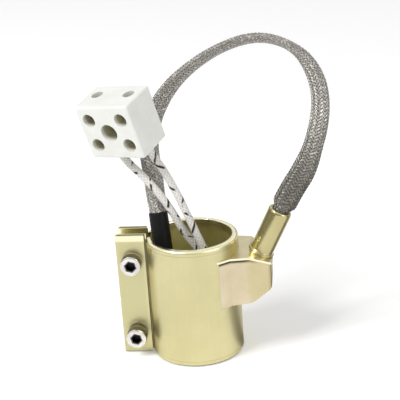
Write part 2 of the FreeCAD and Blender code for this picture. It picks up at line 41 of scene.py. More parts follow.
class Sock:
    # a shader socket that can be used in sums; every operation adds one Math node
    def __init__(self, finish, socket):
        self.finish, self.socket = finish, socket

    def __add__(self, other):
        return self.finish.math("ADD", self, other)

    def __sub__(self, other):
        return self.finish.math("SUBTRACT", self, other)

    def __rsub__(self, other):
        return self.finish.math("SUBTRACT", other, self)

    def __mul__(self, other):
        return self.finish.math("MULTIPLY", self, other)

    def __truediv__(self, other):
        return self.finish.math("DIVIDE", self, other)

    __radd__ = __add__
    __rmul__ = __mul__


class Finish:
    # one material with a Principled shader and short ways to add nodes to it
    def __init__(self, name, world=False, **constants):
        self.material = (bpy.data.worlds if world else bpy.data.materials).new(name)
        self.material.use_nodes = True
        self.tree = self.material.node_tree
        self.shader = self.tree.nodes["Background" if world else "Principled BSDF"]
        for socketName, value in constants.items():
            self.shader.inputs[socketName.replace("_", " ")].default_value = value

    def node(self, kind, settings=None, inputs=None, output=0):
        made = self.tree.nodes.new(kind)
        for key, value in (settings or {}).items():
            setattr(made, key, value)
        for key, value in (inputs or {}).items():
            self.feed(made.inputs[key], value)
        return Sock(self, made.outputs[output])

    def feed(self, target, value):
        if isinstance(value, Sock):
            self.tree.links.new(value.socket, target)
        else:
            target.default_value = value

    def math(self, operation, a, b=0.0, clamp=False):
        return self.node("ShaderNodeMath", {"operation": operation, "use_clamp": clamp}, {0: a, 1: b})

    def fade(self, value, low, high):
        # 0 below low, 1 above high, smooth between
        return self.node(
            "ShaderNodeMapRange",
            {"interpolation_type": "SMOOTHSTEP"},
            {"Value": value, "From Min": low, "From Max": high},
        )

    def mix(self, factor, first, second):
        return self.node(
            "ShaderNodeMix", {"data_type": "RGBA"}, {"Factor": factor, 6: first, 7: second}, output=2
        )

    def place(self):
        return self.node("ShaderNodeTexCoord", output="Object")

    def axes(self, vector):
        split = self.node("ShaderNodeSeparateXYZ", inputs={0: vector})
        return [Sock(self, out) for out in split.socket.node.outputs]

    def noise(self, scale, detail=3.0, roughness=0.5, stretch=None):
        vector = self.place()
        if stretch:
            vector = self.node("ShaderNodeVectorMath", {"operation": "MULTIPLY"}, {0: vector, 1: stretch})
        inputs = {"Vector": vector, "Scale": scale, "Detail": detail, "Roughness": roughness}
        return self.node("ShaderNodeTexNoise", inputs=inputs)

    def bump(self, height, distance):
        return self.node("ShaderNodeBump", inputs={"Height": height, "Distance": distance})

    def set(self, **links):
        for socketName, value in links.items():
            self.feed(self.shader.inputs[socketName.replace("_", " ")], value)


def shade(red, green, blue):
    # screen colour from 0 to 255 to the linear colour that the shaders use
    def linear(c):
        c /= 255
        return c / 12.92 if c <= 0.04045 else ((c + 0.055) / 1.055) ** 2.4

    return (linear(red), linear(green), linear(blue), 1.0)


def sheetBrass(name, pale, deep, roughness):
    f = Finish(name, Metallic=1.0)
    cloud = f.noise(60.0, 4.0, 0.55)
    tone = f.fade(cloud, 0.3, 0.7)
    fine = f.noise(900.0, 2.0, 0.6)
    f.set(Base_Color=f.mix(tone, deep, pale))
    f.set(Roughness=roughness + (cloud - 0.5) * 0.12 + (fine - 0.5) * 0.08)
    f.set(Normal=f.bump(fine * 0.6 + cloud * 0.4, 0.00003))
    return f.material


sheath = {
    "height": 43.5 * mm,
    "rimShine": (1.0 * mm, 0.2 * mm),
    "bendShadeDepth": 1.9 * mm,
    "bendShadeHalf": (0.25 * mm, 0.05 * mm),
    "bandStart": (-16.6 * mm, -15.6 * mm),
    "earShadeStart": (-16.4 * mm, -17.6 * mm),
    "foot": (0.9 * mm, 0.35 * mm),
    "drawnStretch": (700.0, 700.0, 60.0),
    "satin": (shade(204, 196, 150), shade(213, 205, 160)),
    "bendShadeColour": shade(150, 140, 92),
    "earShadeColour": shade(200, 194, 150),
    "rimHighlightColour": shade(240, 234, 196),
    "footColour": shade(104, 96, 54),
}


def sheathFinish():
    # satin sheet; painted highlight along both folded rims, which are also glossier there, and painted shade
    # along the bend under each rim, on the ears and along the foot
    f = Finish("bodyBrass", Metallic=1.0)
    x, _, z = f.axes(f.place())
    cloud = f.noise(55.0, 4.0, 0.55)
    drawn = f.noise(1.0, 3.0, 0.6, stretch=sheath["drawnStretch"])
    fine = f.noise(900.0, 2.0, 0.6)
    fromRim = f.math("MINIMUM", z, sheath["height"] - z)
    # rim: a painted highlight along both folded rims, which are also made less rough
    rim = f.fade(fromRim, *sheath["rimShine"])
    onBand = f.fade(x, *sheath["bandStart"])
    # mark: a painted shade line along the bend under each rim, on the band only
    mark = f.fade(f.math("ABSOLUTE", fromRim - sheath["bendShadeDepth"]), *sheath["bendShadeHalf"]) * onBand * 0.3
    tone = f.fade(cloud * 0.85 + drawn * 0.15, 0.35, 0.65)
    satin = f.mix(tone, *sheath["satin"])
    satin = f.mix(mark, satin, sheath["bendShadeColour"])
    # painted shade darkens the ears
    satin = f.mix(f.fade(x, *sheath["earShadeStart"]) * 0.85, satin, sheath["earShadeColour"])
    satin = f.mix(rim, satin, sheath["rimHighlightColour"])
    # painted contact shadow along the foot of the sheath and of the ears
    f.set(Base_Color=f.mix(f.fade(z, *sheath["foot"]) * 0.85, satin, sheath["footColour"]))
    f.set(Roughness=0.36 + (cloud - 0.5) * 0.1 + (fine - 0.5) * 0.05 - rim * 0.16)
    f.set(Normal=f.bump(fine * 0.25 + cloud * 0.5, 0.00001))
    return f.material


cap = {
    "kneeX": 20.0 * mm,
    "topZ": 38.2 * mm,
    "slope": math.tan(math.radians(26)),
    "knee": (18.8 * mm, 20.6 * mm),
    "end": (25.9 * mm, 27.5 * mm),
    # levels below the lid's upper face
    "lip": (-0.05 * mm, -0.14 * mm),
    "lidSeam": (-0.78 * mm, -0.84 * mm),
    "capSeam": (-2.3 * mm, -1.2 * mm),
    "lowWall": (-17.0 * mm, -19.0 * mm),
    "capSeamX": (24.0 * mm, 18.0 * mm),
    "blush": (shade(206, 192, 160), shade(219, 205, 180)),
    "sideFacetShade": (shade(202, 189, 148), shade(213, 200, 162)),
    "lid": (shade(206, 196, 158), shade(222, 213, 178)),
    "endShadeColour": shade(140, 128, 80),
    "lowColour": shade(168, 152, 108),
    "lipHighlightColour": shade(246, 240, 212),
    "seamColour": shade(74, 62, 34),
}


def capFinish(name, isLid):
    # the level over or under the lid's upper face tells lip, seam and wall apart; the lip gets a painted
    # highlight, the side facet and the end face get painted shade
    f = Finish(name, Metallic=1.0)
    x, _, z = f.axes(f.place())
    level = z + f.math("MAXIMUM", x - cap["kneeX"], 0.0) * cap["slope"] - cap["topZ"]
    cloud = f.noise(90.0, 4.0, 0.6)
    tone = f.fade(cloud, 0.3, 0.7)
    if isLid:
        # painted highlight along the lid's lip
        colour = f.mix(f.fade(level, *cap["lip"]), f.mix(tone, *cap["lid"]), cap["lipHighlightColour"])
        seam = f.fade(level, *cap["lidSeam"])
    else:
        # the side facet past the knee gets painted shade
        colour = f.mix(f.fade(x, *cap["knee"]), f.mix(tone, *cap["blush"]), f.mix(tone, *cap["sideFacetShade"]))
        # painted shade on the end face
        colour = f.mix(f.fade(x, *cap["end"]) * 0.6, colour, cap["endShadeColour"])
        colour = f.mix(f.fade(level, *cap["lowWall"]) * 0.5, colour, cap["lowColour"])
        seam = f.fade(level, *cap["capSeam"]) * f.fade(x, *cap["capSeamX"])
    f.set(Base_Color=f.mix(seam, colour, cap["seamColour"]))
    f.set(Roughness=0.33 + (cloud - 0.5) * 0.14 + seam * 0.3)
    f.set(Normal=f.bump(cloud, 0.00004))
    return f.material


bodyBrass = sheathFinish()
capBrass = capFinish("capBrass", False)
lidBrass = capFinish("lidBrass", True)
ferruleBrass = sheetBrass("ferruleBrass", shade(198, 188, 142), shade(185, 175, 128), 0.2)
linerBrass = sheetBrass("linerBrass", shade(224, 217, 158), shade(198, 190, 130), 0.5)
insertBrass = sheetBrass("insertBrass", shade(196, 192, 160), shade(168, 164, 130), 0.45)


def brightSteel(name, pale, deep, roughness):
    f = Finish(name, Metallic=1.0)
    cloud = f.noise(180.0, 4.0, 0.6)
    f.set(Base_Color=f.mix(f.fade(cloud, 0.3, 0.7), deep, pale))
    f.set(Roughness=roughness + (cloud - 0.5) * 0.15)
    return f.material


screwSteel = brightSteel("screwSteel", shade(226, 222, 218), shade(196, 190, 184), 0.24)
barSteel = brightSteel("barSteel", shade(150, 146, 140), shade(120, 116, 110), 0.42)
brownScrew = brightSteel("brownScrew", shade(158, 104, 70), shade(118, 74, 48), 0.45)
wireSteel = brightSteel("wireSteel", shade(186, 182, 176), shade(150, 146, 140), 0.34)
ribbonAlloy = brightSteel("ribbonAlloy", shade(150, 146, 138), shade(118, 112, 104), 0.36)


def plainFinish(name, pale, deep, roughness, scale, bump, gloss=0.5):
    f = Finish(name, Specular_IOR_Level=gloss)
    cloud = f.noise(scale, 4.0, 0.6)
    f.set(Base_Color=f.mix(f.fade(cloud, 0.3, 0.7), deep, pale))
    f.set(Roughness=roughness + (cloud - 0.5) * 0.1)
    f.set(Normal=f.bump(f.noise(scale * 8, 3.0, 0.6), bump))
    return f.material


block = {
    "centre": (-21.7 * mm, 2.2 * mm, 84.0 * mm),
    "turn": (15.5, -6.3, -26.9),
    "half": (11.0 * mm, 7.25 * mm, 10.0 * mm),
    # depths under a face between which the painted shade of a well or hole sets in
    "front": (0.5 * mm, 2.2 * mm),
    "backAndSides": (0.3 * mm, 0.8 * mm),
    "ends": (2.55 * mm, 2.75 * mm),
    "white": (shade(233, 233, 227), shade(240, 241, 236)),
    "wellShadeColour": shade(182, 179, 152),
}


def ceramicFinish():
    # white and half matt; painted shade darkens the inside of the wells and the screw holes
    f = Finish("ceramic")
    turn = Euler([math.radians(angle) for angle in block["turn"]]).to_matrix().transposed()
    fromCentre = f.node("ShaderNodeVectorMath", {"operation": "SUBTRACT"}, {0: f.place(), 1: block["centre"]})
    dot = {"operation": "DOT_PRODUCT"}
    across, deep, along = (
        f.node("ShaderNodeVectorMath", dot, {0: fromCentre, 1: tuple(row)}, output="Value") for row in turn
    )
    halfX, halfY, halfZ = block["half"]
    inside = f.fade(deep, *(depth - halfY for depth in block["front"]))
    inside = inside * f.fade(deep, *(halfY - depth for depth in block["backAndSides"]))
    inside = inside * f.fade(f.math("ABSOLUTE", across), *(halfX - depth for depth in block["backAndSides"]))
    inside = inside * f.fade(f.math("ABSOLUTE", along), *(halfZ - depth for depth in block["ends"]))
    cloud = f.noise(120.0, 4.0, 0.6)
    white = f.mix(f.fade(cloud, 0.3, 0.7), *block["white"])
    f.set(Base_Color=f.mix(inside, white, block["wellShadeColour"]))
    f.set(Roughness=0.38 + (cloud - 0.5) * 0.1 + inside * 0.2)
    f.set(Normal=f.bump(f.noise(900.0, 3.0, 0.6), 0.00003))
    return f.material


ceramic = ceramicFinish()
mica = plainFinish("mica", shade(190, 176, 150), shade(160, 146, 120), 0.5, 300.0, 0.00003)
shrinkBlack = plainFinish("shrinkBlack", shade(22, 22, 22), shade(13, 13, 13), 0.5, 200.0, 0.00004, 0.15)
# a dark sheet under the braid's strands: painted shade in the gaps between them
braidCoreShade = plainFinish("braidCoreShade", shade(40, 38, 35), shade(24, 23, 21), 0.85, 900.0, 0.00004)


glass = {
    "turnsPerMetre": 110.0,
    "ridges": 12,
    # direction, start and hiding scale of each dark tracer yarn
    "tracers": ((1, 0.0, 210.0), (-1, 0.35, 260.0)),
    "tracerHalf": (0.085, 0.05),
    "tracerShown": (0.47, 0.54),
    "white": (shade(208, 205, 198), shade(232, 230, 225)),
    "tracerColour": shade(48, 46, 46),
}


def wovenGlass(name):
    # UV x runs once round the wire, UV y is metres along it
    f = Finish(name, Roughness=0.75)
    across, along, _ = f.axes(f.node("ShaderNodeUVMap", {"uv_map": "lay"}))
    rise = along * glass["turnsPerMetre"]
    helixA = f.math("SINE", (across + rise) * (glass["ridges"] * math.pi))
    helixB = f.math("SINE", (across - rise) * (glass["ridges"] * math.pi))
    weave = f.math("MAXIMUM", helixA, helixB)
    yarns = []
    for direction, start, hidden in glass["tracers"]:
        turn = f.math("FRACT", across + rise * direction + start)
        shown = f.fade(f.noise(hidden, 1.0), *glass["tracerShown"])
        yarns.append(f.fade(f.math("ABSOLUTE", turn - 0.5), *glass["tracerHalf"]) * shown)
    soft = f.noise(500.0, 3.0)
    white = f.mix(f.fade(weave + (soft - 0.5), -0.7, 0.7), *glass["white"])
    f.set(Base_Color=f.mix(f.math("MAXIMUM", *yarns), white, glass["tracerColour"]))
    f.set(Normal=f.bump(weave, 0.00008))
    return f.material


glassFibre = wovenGlass("glassFibre")

strand = {
    "grey": (shade(104, 100, 94), shade(226, 223, 217)),
    "nearFerruleGrey": (shade(60, 57, 53), shade(150, 146, 139)),
    "nearFerrule": (50 * mm, 18 * mm),
    "edgeShadeColour": shade(78, 74, 69),
    "wires": 4,
}


def braidStrandFinish():
    # UV x runs across one strand, UV y is metres along it; the end at the ferrule is darker
    f = Finish("braidStrand", Metallic=1.0)
    across, along, _ = f.axes(f.node("ShaderNodeUVMap", {"uv_map": "lay"}))
    # painted highlight on the wires' crowns and painted shade between them, over their real relief; painted
    # shade along both edges of each strand and painted glints
    ends = f.math("ABSOLUTE", f.math("SINE", across * (strand["wires"] * math.pi)))
    soot = f.noise(1500.0, 2.0, 0.7)
    edgeShade = f.fade(f.math("ABSOLUTE", across - 0.5), 0.5, 0.3)
    glint = f.fade(f.noise(800.0, 2.0, 0.7), 0.55, 0.68)
    tone = f.fade(ends * 0.45 + (soot - 0.5) * 0.9 + glint * 0.5 + 0.12, 0.0, 0.9)
    nearFerrule = f.fade(along, *strand["nearFerrule"]) * 0.9
    grey = f.mix(nearFerrule, f.mix(tone, *strand["grey"]), f.mix(tone, *strand["nearFerruleGrey"]))
    f.set(Base_Color=f.mix(edgeShade, strand["edgeShadeColour"], grey))
    f.set(Roughness=0.45 - ends * 0.12)
    f.set(Normal=f.bump(ends, 0.00007))
    return f.material


braidStrand = braidStrandFinish()

nodeFinish = {
    "outer_sheath": bodyBrass,
    "inner_liner": linerBrass,
    "mica_inner": mica,
    "mica_outer": mica,
    "winding_former": mica,
    "resistance_ribbon": ribbonAlloy,
    "clamp_bar_front": barSteel,
    "clamp_bar_rear": barSteel,
    "terminal_cap": capBrass,
    "cap_lid": lidBrass,
    "terminal_block_body": ceramic,
    "terminal_screw_upper_left": brownScrew,
}
for name, node in nodes.items():
    finish = nodeFinish.get(name)
    if finish is None:
        if name.startswith("terminal_insert"):
            finish = insertBrass
        elif name.startswith(("clamp_screw", "terminal_screw")):
            finish = screwSteel
        elif name.startswith(("lead_wire", "inner_lead")):
            finish = glassFibre
        else:
            finish = wireSteel
    node.data.materials.clear()
    node.data.materials.append(finish)
print("finishes made")

braid = {
    "route": [
        (0.02687, 0.00000, 0.04264),
        (0.03388, 0.00000, 0.05702),
        (0.04050, 0.00100, 0.06650),
        (0.04540, 0.00240, 0.08180),
        (0.04570, 0.00420, 0.09310),
        (0.04130, 0.00620, 0.10280),
        (0.03400, 0.00840, 0.10790),
        (0.02480, 0.01080, 0.10950),
        (0.01450, 0.01300, 0.10660),
        (0.00400, 0.01480, 0.10080),
        (-0.00560, 0.01560, 0.09280),
        (-0.01210, 0.01500, 0.08300),
        (-0.01460, 0.01180, 0.07250),
        (-0.01300, 0.00760, 0.06390),
        (-0.01183, 0.00311, 0.05610),
        (-0.01011, -0.00054, 0.03651),
    ],
    "width": 6.2 * mm,  # mean; the flat braid is spread above the ferrule and drawn narrower further on
    # millimetres along the braid, and size in millimetres
    "widths": [(0, 8.3), (24, 8.1), (37, 6.4), (58, 5.8), (92, 6.0), (112, 7.2), (140, 7.2), (182, 5.8)],
    "thicknesses": [(0, 3.5), (52, 3.3), (74, 2.5), (92, 2.7), (116, 3.4), (182, 3.5)],
    # share of the length, and angle of the wide side: across the arch at first, then edge on, then half way
    "twists": [(0.0, 10), (0.16, 8), (0.30, 25), (0.42, 80), (0.60, 92), (0.72, 70), (0.85, 50), (1.0, 40)],
    "held": 2.78 * mm,  # radius inside the ferrule and the sleeve
    "spreadFrom": 10.1 * mm,
    "spreadOver": 3.0 * mm,
    "squeezedAt": 13.0 * mm,  # before the end
    "squeezedOver": 7.0 * mm,
    "coreDepth": 0.2 * mm,
    "coreStep": 0.9 * mm,
    "coreSegments": 28,
    "carriers": 16,
    "pitch": 19.0 * mm,
    "strandWidth": 0.74 * mm,
    "strandCrown": 0.12 * mm,
    "strandStep": 0.4 * mm,
    # place across a strand and rise, as shares of the half width and of the crown
    "strandSection": [(-1.0, -0.5), (-0.5, 0.25), (0.0, 0.5), (0.5, 0.25), (1.0, -0.5)],
    "weaveHeight": 0.26 * mm,
    "weaveStart": 0.4,
    "weaveSharpness": 1.5,
    "meanHalves": (3.1 * mm, 1.8 * mm),
    "endGap": 0.4 * mm,
}
wires = {
    "left": [
        (-0.01011, 0.00081, 0.03626),
        (-0.00954, -0.00040, 0.02981),
        (-0.00900, 0.00000, 0.02340),
        (-0.00470, 0.00040, 0.01860),
        (0.00160, 0.00080, 0.01820),
        (0.00640, 0.00100, 0.02200),
        (0.00760, 0.00100, 0.02840),
        (0.00260, 0.00100, 0.03660),
        (-0.00260, 0.00060, 0.04380),
        (-0.00660, -0.00020, 0.05320),
        (-0.01160, 0.00040, 0.06060),
        (-0.01680, 0.00340, 0.06520),
        (-0.02100, 0.00690, 0.06760),
        (-0.02435, 0.00864, 0.07164),
        (-0.02562, 0.00752, 0.07729),
    ],
    "right": [
        (-0.01011, -0.00190, 0.03676),
        (-0.00954, -0.00310, 0.03031),
        (-0.00910, -0.00340, 0.02380),
        (-0.00480, -0.00320, 0.01890),
        (0.00160, -0.00290, 0.01830),
        (0.00700, -0.00270, 0.02180),
        (0.00900, -0.00260, 0.02800),
        (0.00380, -0.00250, 0.03990),
        (-0.00020, -0.00170, 0.04990),
        (-0.00400, -0.00040, 0.05890),
        (-0.00830, 0.00140, 0.06690),
        (-0.01265, 0.00270, 0.07308),
        (-0.01392, 0.00158, 0.07873),
    ],
}
wireDiameter = 2.7 * mm


def routeLine(route, resolution=24):
    # points along the smooth curve that has the route as its control points
    data = bpy.data.curves.new("routeLine", "CURVE")
    data.dimensions = "3D"
    spline = data.splines.new("NURBS")
    spline.points.add(len(route) - 1)
    for point, place in zip(spline.points, route):
        point.co = (*place, 1.0)
    spline.order_u = 3
    spline.use_endpoint_u = True
    spline.resolution_u = resolution
    helper = bpy.data.objects.new("routeLine", data)
    bpy.context.scene.collection.objects.link(helper)
    bpy.context.view_layer.update()
    mesh = bpy.data.meshes.new_from_object(helper)
    points = [v.co.copy() for v in mesh.vertices]
    bpy.data.objects.remove(helper)
    bpy.data.curves.remove(data)
    bpy.data.meshes.remove(mesh)
    return points


class Line:
    # a path with its length, tangents and an untwisted side vector, all by distance along it
    def __init__(self, points, side):
        self.points = points
        self.reach = [0.0]
        for a, b in zip(points, points[1:]):
            self.reach.append(self.reach[-1] + (b - a).length)
        self.length = self.reach[-1]
        self.tangents = []
        for i in range(len(points)):
            ahead, behind = points[min(i + 1, len(points) - 1)], points[max(i - 1, 0)]
            self.tangents.append((ahead - behind).normalized())
        side = Vector(side)
        self.sides = []
        for tangent in self.tangents:
            side = (side - tangent * side.dot(tangent)).normalized()
            self.sides.append(side.copy())

    def at(self, distance):
        distance = min(max(distance, 0.0), self.length)
        low, high = 0, len(self.reach) - 1
        while high - low > 1:
            middle = (low + high) // 2
            if self.reach[middle] <= distance:
                low = middle
            else:
                high = middle
        span = self.reach[high] - self.reach[low]
        t = (distance - self.reach[low]) / span if span else 0.0
        place = self.points[low].lerp(self.points[high], t)
        tangent = self.tangents[low].lerp(self.tangents[high], t).normalized()
        side = self.sides[low].lerp(self.sides[high], t)
        side = (side - tangent * side.dot(tangent)).normalized()
        return place, side, tangent.cross(side)


def meshPiece(name, vertices, faces, finish, uvs=None, cornerUvs=None, sharp=None):
    mesh = bpy.data.meshes.new(name)
    mesh.from_pydata(vertices, [], faces)
    if uvs or cornerUvs:
        layer = mesh.uv_layers.new(name="lay")
        for loop in mesh.loops:
            layer.data[loop.index].uv = uvs[loop.vertex_index] if uvs else cornerUvs[loop.index]
    mesh.materials.append(finish)
    mesh.shade_smooth()
    if sharp:
        mesh.set_sharp_from_angle(angle=math.radians(sharp))
    piece = bpy.data.objects.new(name, mesh)
    bpy.context.scene.collection.objects.link(piece)
    return piece


def loft(rings):
    # faces between closed rings of equal count, and one over each end
    count = len(rings[0])
    vertices = [v for ring in rings for v in ring]
    faces = []
    for i in range(len(rings) - 1):
        for j in range(count):
            a, b = i * count + j, i * count + (j + 1) % count
            faces.append((a, b, b + count, a + count))
    faces.append(tuple(range(count - 1, -1, -1)))
    last = (len(rings) - 1) * count
    faces.append(tuple(range(last, last + count)))
    return vertices, faces


wireTube = {"segments": 20, "step": 0.6 * mm, "uneven": 0.05, "grain": 260, "swirl": 3}


def roundTube(name, line, radius, finish):
    # a slightly uneven tube; its UVs go round it and along it without a break
    rings, corners = [], []
    segments = wireTube["segments"]
    count = int(line.length / wireTube["step"])
    reach = [line.length * i / count for i in range(count + 1)]
    for distance in reach:
        place, side, up = line.at(distance)
        ring = []
        for j in range(segments):
            turn = 2 * math.pi * j / segments
            out = side * math.cos(turn) + up * math.sin(turn)
            rough = 1 + wireTube["uneven"] * noise.noise(place * wireTube["grain"] + out * wireTube["swirl"])
            ring.append(place + out * (radius * rough))
        rings.append(ring)
    vertices, faces = loft(rings)
    for near, far in zip(reach, reach[1:]):
        for j in range(segments):
            a, b = j / segments, (j + 1) / segments
            corners += [(a, near), (b, near), (b, far), (a, far)]
    corners += [(0.0, 0.0)] * (2 * segments)
    return meshPiece(name, vertices, faces, finish, cornerUvs=corners)


def lathe(name, origin, axis, profile, finish, segments, sharp=32, marks=None):
    # profile is (height along the axis, radius or a function of the turn) from one end to the other
    axis = Vector(axis).normalized()
    side = axis.orthogonal().normalized()
    up = axis.cross(side)
    rings, uvs = [], []
    for k, (height, radius) in enumerate(profile):
        ring = []
        for j in range(segments):
            turn = 2 * math.pi * j / segments
            r = radius(turn) if callable(radius) else radius
            ring.append(Vector(origin) + axis * height + (side * math.cos(turn) + up * math.sin(turn)) * r)
            uvs.append((marks[k] if marks else 0.0, height))
        rings.append(ring)
    vertices, faces = loft(rings)
    return meshPiece(name, vertices, faces, finish, uvs, sharp=sharp)


ferrule = {
    "base": (23.8 * mm, 0.0, 36.35 * mm),
    "axis": (0.43837, 0.0, 0.89879),
    "segments": 96,
    # height and radius in millimetres, up the outside and down the bore
    "profile": [
        (-0.8, 2.85), (-0.8, 4.1), (0.0, 4.12), (0.02, 4.55), (0.2, 4.6), (0.62, 4.6),
        (0.82, 4.5), (0.9, 4.25), (1.1, 4.12), (1.6, 4.1), (15.9, 4.1), (16.5, 4.04),
        (16.85, 3.85), (17.0, 3.6), (17.0, 3.2), (16.85, 2.98), (16.5, 2.86), (14.0, 2.85),
    ],
}


def buildFerrule():
    profile = [(height * mm, radius * mm) for height, radius in ferrule["profile"]]
    origin, axis = ferrule["base"], ferrule["axis"]
    piece = lathe("leadFerruleTube", origin, axis, profile, ferruleBrass, ferrule["segments"])
    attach(piece, "heater")
    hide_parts("lead_ferrule")


sleeve = {
    "top": (-11.4, 2.2, 51.2),
    "bottom": (-9.8, -1.2, 33.0),
    "radius": 3.32,
    "rows": 64,
    "segments": 48,
    "drawnIn": 0.1,
    "drawnOver": 0.5 * mm,
    # fineness and height in millimetres
    "creases": ((320, 0.07), (900, 0.03)),
}


def buildSleeve():
    # shrunk tube, creased over the braid and drawn in at both ends
    top, bottom = (Vector(sleeve[end]) * mm for end in ("top", "bottom"))
    axis = bottom - top
    length = axis.length
    axis.normalize()
    side = axis.orthogonal().normalized()
    up = axis.cross(side)
    rings = []
    for row in range(sleeve["rows"] + 1):
        distance = length * row / sleeve["rows"]
        fromEnd = min(distance, length - distance)
        drawn = 1 - sleeve["drawnIn"] * max(0.0, 1 - fromEnd / sleeve["drawnOver"]) ** 2
        place = top + axis * distance
        ring = []
        for j in range(sleeve["segments"]):
            turn = 2 * math.pi * j / sleeve["segments"]
            out = side * math.cos(turn) + up * math.sin(turn)
            near = place + out * 3 * mm
            crease = sum(noise.noise(near * fineness) * height for fineness, height in sleeve["creases"])
            ring.append(place + out * ((sleeve["radius"] + crease) * drawn * mm))
        rings.append(ring)
    vertices, faces = loft(rings)
    piece = meshPiece("heatShrinkTube", vertices, faces, shrinkBlack, sharp=50)
    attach(piece, "heater")
    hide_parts("heat_shrink_sleeve")
    return piece


# sizes in millimetres; heights run from the top of the head towards the tip
clampScrew = {
    "x": -20.94,
    "heads": {"upper": (-4.64, 35.1), "lower": (-5.64, 7.7)},  # y under the head, and z
    "headHeight": 4.0,
    "segments": 144,
    "socketFlats": 3.0,
    # height, size as a share of the hexagon, and how much painted shade it gets
    "socket": [
        (2.2, 0.98, 1.0), (2.15, 1.0, 1.0), (0.25, 1.0, 1.0),
        (0.12, 1.06, 0.9), (0.0, 1.28, 0.9), (0.0, 1.36, 0.0),
    ],
    "socketCentre": 0.02,
    "face": [(0.0, 2.7), (0.0, 3.2), (0.1, 3.42), (0.35, 3.55)],
    "knurlRadius": 3.6,
    "knurlDepth": 0.14,
    "knurlHeights": (0.5, 3.6),
    "underside": [(3.75, 3.55), (4.0, 3.5), (4.0, 2.0)],
    "shankRadius": 2.0,
    "shankLength": 12.0,
    "pitch": 0.7,
    "threadDepth": 0.3,
    "rowsPerTurn": 8,
    "taperLength": 0.5,
    "taper": 0.8,
    "tipRadius": 1.4,
}


def screwFinish():
    # UV x is 1 down in the socket and 0.5 on the knurled wall; both get painted shade
    f = Finish("clampScrewSteel", Metallic=1.0)
    where, _, _ = f.axes(f.node("ShaderNodeUVMap", {"uv_map": "lay"}))
    cloud = f.noise(260.0, 4.0, 0.6)
    steel = f.mix(f.fade(cloud, 0.3, 0.7), shade(206, 202, 198), shade(236, 233, 230))
    # painted shade on the knurled wall, and down the socket and its chamfered mouth
    knurl = f.fade(f.math("ABSOLUTE", where - 0.5), 0.2, 0.1)
    steel = f.mix(knurl * 0.8, steel, shade(84, 78, 66))
    socket = f.fade(where, 0.75, 0.95)
    f.set(Base_Color=f.mix(socket, steel, shade(40, 36, 37)))
    f.set(Roughness=0.22 + (cloud - 0.5) * 0.12 + socket * 0.15)
    return f.material


def buildClampScrew(level, finish):
    c = clampScrew

    def hexagon(share):
        def radius(turn):
            return c["socketFlats"] / 2 / math.cos((turn % (math.pi / 3)) - math.pi / 6) * mm * share

        return radius

    def knurled(turn):
        index = round(turn / (2 * math.pi) * c["segments"])
        return (c["knurlRadius"] - (c["knurlDepth"] if index % 4 < 2 else 0.0)) * mm

    def thread(y):
        taper = max(0.0, y - c["shankLength"] + c["taperLength"]) * c["taper"]

        def radius(turn):
            wave = abs(2 * ((y / c["pitch"] - turn / (2 * math.pi)) % 1.0) - 1)
            return (c["shankRadius"] - c["threadDepth"] * wave - taper) * mm

        return radius

    # height, radius and mark for the finish
    rows = [(c["socket"][0][0], c["socketCentre"] * mm, 1.0)]
    rows += [(height, hexagon(share), mark) for height, share, mark in c["socket"]]
    rows += [(height, radius * mm, 0.0) for height, radius in c["face"]]
    rows += [(height, knurled, 0.5) for height in c["knurlHeights"]]
    rows += [(height, radius * mm, 0.0) for height, radius in c["underside"]]
    steps = int(c["shankLength"] / c["pitch"] * c["rowsPerTurn"])
    for step in range(1, steps):
        y = c["shankLength"] * step / steps
        rows.append((c["headHeight"] + y, thread(y), 0.0))
    rows.append((c["headHeight"] + c["shankLength"], c["tipRadius"] * mm, 0.0))
    profile = [(height * mm, radius) for height, radius, _ in rows]
    marks = [mark for _, _, mark in rows]
    y, z = c["heads"][level]
    origin = (c["x"] * mm, (y - c["headHeight"]) * mm, z * mm)
    piece = lathe("clampScrew_" + level, origin, (0, 1, 0), profile, finish, c["segments"], marks=marks)
    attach(piece, "clamp_screw_" + level)
    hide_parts("clamp_screw_" + level)


clampScrewSteel = screwFinish()
for level in clampScrew["heads"]:
    buildClampScrew(level, clampScrewSteel)
buildFerrule()
sleevePiece = buildSleeve()
print("screws, ferrule and sleeve made")

braidLine = Line(routeLine(braid["route"]), (0, 1, 0))


def smooth(t):
    return t * t * (3 - 2 * t)


def eased(stops, at):
    # a value that eases from stop to stop
    for (a, low), (b, high) in zip(stops, stops[1:]):
        if at <= b:
            return low + (high - low) * smooth((at - a) / (b - a))
    return stops[-1][1]


def braidSurface(distance, turn, rise):
    # a point of the flattened braid, at an angle round it, raised by rise
    place, side, up = braidLine.at(distance)
    twist = math.radians(eased(braid["twists"], distance / braidLine.length))
    # the braid is round where the ferrule holds it and inside the sleeve
    afterFerrule = (distance - braid["spreadFrom"]) / braid["spreadOver"]
    beforeSleeve = (braidLine.length - braid["squeezedAt"] - distance) / braid["squeezedOver"]
    spread = smooth(max(0.0, min(1.0, afterFerrule, beforeSleeve)))
    held = braid["held"]
    half = held + spread * (eased(braid["widths"], distance / mm) * mm / 2 - held)
    thin = held + spread * (eased(braid["thicknesses"], distance / mm) * mm / 2 - held)
    wide = up * math.cos(twist) + side * math.sin(twist)
    flat = up * -math.sin(twist) + side * math.cos(twist)
    outward = wide * (math.cos(turn) / half) + flat * (math.sin(turn) / thin)
    outward.normalize()
    return place + wide * (half * math.cos(turn)) + flat * (thin * math.sin(turn)) + outward * rise


def buildBraidCore():
    # the core carries the painted shade seen through the gaps between the strands
    rings, uvs = [], []
    count = int(braidLine.length / braid["coreStep"])
    segments = braid["coreSegments"]
    for i in range(count + 1):
        distance = braidLine.length * i / count
        ring = []
        for j in range(segments):
            ring.append(braidSurface(distance, 2 * math.pi * j / segments, -braid["coreDepth"]))
            uvs.append((j / segments, distance))
        rings.append(ring)
    vertices, faces = loft(rings)
    return meshPiece("leadBraidCore", vertices, faces, braidCoreShade, uvs)


